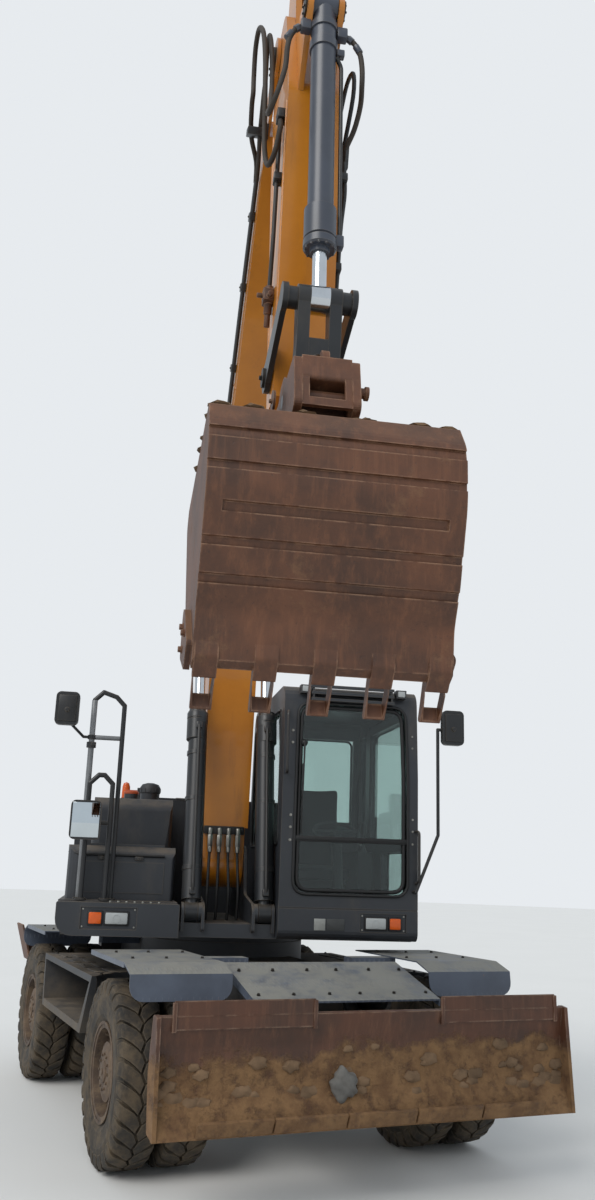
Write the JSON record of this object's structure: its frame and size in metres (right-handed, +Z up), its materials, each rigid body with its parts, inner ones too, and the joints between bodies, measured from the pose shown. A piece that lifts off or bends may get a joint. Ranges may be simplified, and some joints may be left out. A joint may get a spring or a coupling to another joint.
{
  "type": "wheeled excavator",
  "caption": "Wheeled excavator with twin tyres, a front blade and rear outriggers, and a slewing upper body with cab, one-piece boom, stick, quick coupler and bucket.",
  "frame": {"origin": "on the ground under the middle of the machine's bounding box, as parked in the picture", "axes": "+Z up, -Y the direction of travel, +X the cab side (the machine's left); the upper body stands turned 13.2 degrees about +Z from straight ahead"},
  "size_m": [3.3022, 6.7596, 7.5184],
  "materials": {
    "charcoal_paint": "satin",
    "chassis_paint": "satin, dusty",
    "slate_paint": "satin, dusty",
    "rusty_steel": "rusty",
    "rusty_rim": "rusty, dusty",
    "orange_paint": "satin",
    "chrome_rod": "polished",
    "tyre_rubber": "matt, dusty",
    "cab_glass": "clear, slightly grey",
    "black_trim": "matt",
    "seat_fabric": "matt",
    "lamp_glass": "clear",
    "cylinder_paint": "satin"
  },
  "bodies": {
    "chassis": {"chassis_frame": "chassis_paint", "fenders": "slate_paint", "side_steps": "chassis_paint", "front_axle": "chassis_paint", "rear_axle": "chassis_paint", "drive_line": "chassis_paint"},
    "knuckle_left_body": {"knuckle_left": "chassis_paint"},
    "knuckle_right_body": {"knuckle_right": "chassis_paint"},
    "wheels_front_left": {"tyres_front_left": "tyre_rubber", "rims_front_left": "rusty_rim"},
    "wheels_front_right": {"tyres_front_right": "tyre_rubber", "rims_front_right": "rusty_rim"},
    "wheels_rear_left": {"tyres_rear_left": "tyre_rubber", "rims_rear_left": "rusty_rim"},
    "wheels_rear_right": {"tyres_rear_right": "tyre_rubber", "rims_rear_right": "rusty_rim"},
    "blade_arms_body": {"blade_arms": "chassis_paint"},
    "blade_body": {"blade": "rusty_steel"},
    "blade_links_body": {"blade_links": "chassis_paint"},
    "blade_cylinders_body": {"blade_cylinders": "charcoal_paint"},
    "blade_rods_body": {"blade_rods": "chrome_rod"},
    "outrigger_left_body": {"outrigger_left": "rusty_steel"},
    "outrigger_right_body": {"outrigger_right": "rusty_steel"},
    "outrigger_cylinder_left_body": {"outrigger_cylinder_left": "charcoal_paint"},
    "outrigger_cylinder_right_body": {"outrigger_cylinder_right": "charcoal_paint"},
    "outrigger_rod_left_body": {"outrigger_rod_left": "chrome_rod"},
    "outrigger_rod_right_body": {"outrigger_rod_right": "chrome_rod"},
    "house": {"deck": "charcoal_paint", "counterweight": "charcoal_paint", "engine": "black_trim", "hood_frame": "charcoal_paint", "tanks": "charcoal_paint", "handrails": "black_trim", "mirrors": "black_trim", "lamps": "lamp_glass", "exhaust": "black_trim", "cab_shell": "charcoal_paint", "cab_glass": "cab_glass", "seat": "seat_fabric", "console": "black_trim"},
    "hood_lid_body": {"hood_lid": "charcoal_paint"},
    "side_door_left_body": {"side_door_left": "charcoal_paint"},
    "side_door_right_body": {"side_door_right": "charcoal_paint"},
    "cab_door_body": {"cab_door": "charcoal_paint", "door_glass": "cab_glass"},
    "boom_body": {"boom": "orange_paint"},
    "boom_cylinders_body": {"boom_cylinders": "charcoal_paint"},
    "boom_rods_body": {"boom_rods": "chrome_rod"},
    "stick_cylinder_body": {"stick_cylinder": "charcoal_paint"},
    "stick_rod_body": {"stick_rod": "chrome_rod"},
    "stick_body": {"stick": "orange_paint"},
    "bucket_cylinder_body": {"bucket_cylinder": "cylinder_paint"},
    "bucket_rod_body": {"bucket_rod": "chrome_rod"},
    "rocker_body": {"rocker": "charcoal_paint"},
    "link_body": {"link": "rusty_steel"},
    "bucket_body": {"coupler": "rusty_steel", "bucket": "rusty_steel"}
  },
  "joints": [
    {"name": "steer_left", "type": "hinge", "parent": "chassis", "child": "knuckle_left_body", "pos_m": [0.59, -0.4005, 0.525], "axis": [0, 0, 1], "range_deg": [-30, 30]},
    {"name": "steer_right", "type": "hinge", "parent": "chassis", "child": "knuckle_right_body", "pos_m": [-0.59, -0.4005, 0.525], "axis": [0, 0, 1], "range_deg": [-30, 30]},
    {"name": "wheel_front_left", "type": "hinge", "parent": "knuckle_left_body", "child": "wheels_front_left", "pos_m": [1, -0.4005, 0.525], "axis": [1, 0, 0], "continuous": true},
    {"name": "wheel_rear_left", "type": "hinge", "parent": "chassis", "child": "wheels_rear_left", "pos_m": [1, 2.3145, 0.525], "axis": [1, 0, 0], "continuous": true},
    {"name": "wheel_front_right", "type": "hinge", "parent": "knuckle_right_body", "child": "wheels_front_right", "pos_m": [-1, -0.4005, 0.525], "axis": [1, 0, 0], "continuous": true},
    {"name": "wheel_rear_right", "type": "hinge", "parent": "chassis", "child": "wheels_rear_right", "pos_m": [-1, 2.3145, 0.525], "axis": [1, 0, 0], "continuous": true},
    {"name": "blade_lift", "type": "hinge", "parent": "chassis", "child": "blade_arms_body", "pos_m": [0, -0.68, 0.6], "axis": [-1, 0, 0], "range_deg": [-41, 2]},
    {"name": "blade_level", "type": "hinge", "parent": "blade_arms_body", "child": "blade_body", "pos_m": [0, -1.41718, 0.66449], "axis": [-1, 0, 0], "range_deg": [-2, 41]},
    {"name": "blade_link_swing", "type": "hinge", "parent": "chassis", "child": "blade_links_body", "pos_m": [0, -0.68, 0.84], "axis": [-1, 0, 0], "range_deg": [-41, 2]},
    {"name": "blade_cylinders_swing", "type": "hinge", "parent": "chassis", "child": "blade_cylinders_body", "pos_m": [0, -0.71, 1.01], "axis": [-1, 0, 0], "range_deg": [-22.53, 1.11]},
    {"name": "blade_rods_slide", "type": "slide", "parent": "blade_cylinders_body", "child": "blade_rods_body", "axis": [0, -0.7558, -0.6548], "range_m": [-0.0104, 0.2032]},
    {"name": "outrigger_left_swing", "type": "hinge", "parent": "chassis", "child": "outrigger_left_body", "pos_m": [0.52, 3.1, 0.56], "axis": [0, -1, 0], "range_deg": [-73, 0]},
    {"name": "outrigger_cylinder_left_swing", "type": "hinge", "parent": "chassis", "child": "outrigger_cylinder_left_body", "pos_m": [0.24, 3.1, 1.01], "axis": [0, -1, 0], "range_deg": [-26.81, 0.01]},
    {"name": "outrigger_rod_left_slide", "type": "slide", "parent": "outrigger_cylinder_left_body", "child": "outrigger_rod_left_body", "axis": [0.9578, 0, -0.2873], "range_m": [-0.0005, 0.3436]},
    {"name": "outrigger_right_swing", "type": "hinge", "parent": "chassis", "child": "outrigger_right_body", "pos_m": [-0.52, 3.1, 0.56], "axis": [0, 1, 0], "range_deg": [-73, 0]},
    {"name": "outrigger_cylinder_right_swing", "type": "hinge", "parent": "chassis", "child": "outrigger_cylinder_right_body", "pos_m": [-0.24, 3.1, 1.01], "axis": [0, 1, 0], "range_deg": [-26.81, 0.01]},
    {"name": "outrigger_rod_right_slide", "type": "slide", "parent": "outrigger_cylinder_right_body", "child": "outrigger_rod_right_body", "axis": [-0.9578, 0, -0.2873], "range_m": [-0.0005, 0.3436]},
    {"name": "slew", "type": "hinge", "parent": "chassis", "child": "house", "pos_m": [0, 1.12, 1.255], "axis": [0, 0, 1], "continuous": true},
    {"name": "hood_lid_hinge", "type": "hinge", "parent": "house", "child": "hood_lid_body", "pos_m": [0.14614, 1.74309, 2.292], "axis": [0.9736, -0.2284, 0], "range_deg": [0, 55]},
    {"name": "side_door_left_hinge", "type": "hinge", "parent": "house", "child": "side_door_left_body", "pos_m": [1.57927, 2.38273, 1.7], "axis": [0, 0, -1], "range_deg": [-100, 0]},
    {"name": "side_door_right_hinge", "type": "hinge", "parent": "house", "child": "side_door_right_body", "pos_m": [-0.85312, 2.95325, 1.7], "axis": [0, 0, 1], "range_deg": [-100, 0]},
    {"name": "cab_door_hinge", "type": "hinge", "parent": "house", "child": "cab_door_body", "pos_m": [1.25824, 0.95225, 2], "axis": [0, 0, 1], "range_deg": [0, 95]},
    {"name": "boom_lift", "type": "hinge", "parent": "house", "child": "boom_body", "pos_m": [-0.15811, 0.81813, 1.75], "axis": [-0.9736, 0.2284, 0], "range_deg": [-90, 3.5]},
    {"name": "boom_cylinders_swing", "type": "hinge", "parent": "house", "child": "boom_cylinders_body", "pos_m": [-0.32252, 0.11715, 1.42], "axis": [-0.9736, 0.2284, 0], "range_deg": [-89.79, 3.5]},
    {"name": "boom_rods_slide", "type": "slide", "parent": "boom_cylinders_body", "child": "boom_rods_body", "axis": [0.0499, 0.2126, 0.9759], "range_m": [-1.127, 0.0443]},
    {"name": "stick_swing", "type": "hinge", "parent": "boom_body", "child": "stick_body", "pos_m": [-0.77518, -1.81278, 6.76872], "axis": [0.9736, -0.2284, 0], "range_deg": [-95, 6]},
    {"name": "stick_cylinder_swing", "type": "hinge", "parent": "boom_body", "child": "stick_cylinder_body", "pos_m": [-0.20125, 0.6342, 5.10663], "axis": [-0.9736, 0.2284, 0], "range_deg": [-0.34, 5.29]},
    {"name": "stick_rod_slide", "type": "slide", "parent": "stick_cylinder_body", "child": "stick_rod_body", "axis": [-0.1717, -0.7319, 0.6594], "range_m": [-0.9802, 0.0624]},
    {"name": "bucket_curl", "type": "hinge", "parent": "stick_body", "child": "bucket_body", "pos_m": [-0.85051, -2.13393, 3.91774], "axis": [0.9736, -0.2284, 0], "range_deg": [-20, 125]},
    {"name": "bucket_cylinder_swing", "type": "hinge", "parent": "stick_body", "child": "bucket_cylinder_body", "pos_m": [-0.94414, -2.53313, 6.49898], "axis": [-0.9736, 0.2284, 0], "range_deg": [-5.33, 0.86]},
    {"name": "bucket_rod_slide", "type": "slide", "parent": "bucket_cylinder_body", "child": "bucket_rod_body", "axis": [-0.0127, -0.0543, -0.9984], "range_m": [-0.1231, 0.7666]},
    {"name": "rocker_swing", "type": "hinge", "parent": "stick_body", "child": "rocker_body", "pos_m": [-0.84323, -2.10292, 4.36706], "axis": [-0.9736, 0.2284, 0], "range_deg": [-85.55, 13.7]},
    {"name": "link_swing", "type": "hinge", "parent": "bucket_body", "child": "link_body", "pos_m": [-0.95321, -2.57179, 3.993], "axis": [-0.9736, 0.2284, 0], "range_deg": [-13.85, 86.53]}
  ],
  "couplings": [
    {"joint": "steer_right", "follows": "steer_left", "ratio": 1},
    {"joint": "blade_level", "follows": "blade_lift", "ratio": -1},
    {"joint": "blade_link_swing", "follows": "blade_lift", "ratio": 1},
    {"joint": "blade_cylinders_swing", "follows": "blade_lift", "ratio": 0.54925},
    {"joint": "blade_rods_slide", "follows": "blade_lift", "m_per_rad": -0.28329},
    {"joint": "outrigger_cylinder_left_swing", "follows": "outrigger_left_swing", "ratio": 0.36713},
    {"joint": "outrigger_rod_left_slide", "follows": "outrigger_left_swing", "m_per_rad": -0.26931},
    {"joint": "outrigger_cylinder_right_swing", "follows": "outrigger_right_swing", "ratio": 0.36713},
    {"joint": "outrigger_rod_right_slide", "follows": "outrigger_right_swing", "m_per_rad": -0.26931},
    {"joint": "boom_cylinders_swing", "follows": "boom_lift", "ratio": 0.99757},
    {"joint": "boom_rods_slide", "follows": "boom_lift", "m_per_rad": 0.71714},
    {"joint": "stick_cylinder_swing", "follows": "stick_swing", "ratio": -0.05562},
    {"joint": "stick_rod_slide", "follows": "stick_swing", "m_per_rad": 0.59085},
    {"joint": "bucket_cylinder_swing", "follows": "bucket_curl", "ratio": -0.04257},
    {"joint": "bucket_rod_slide", "follows": "bucket_curl", "m_per_rad": 0.35113},
    {"joint": "rocker_swing", "follows": "bucket_curl", "ratio": -0.68433},
    {"joint": "link_swing", "follows": "bucket_curl", "ratio": 0.69212}
  ]
}
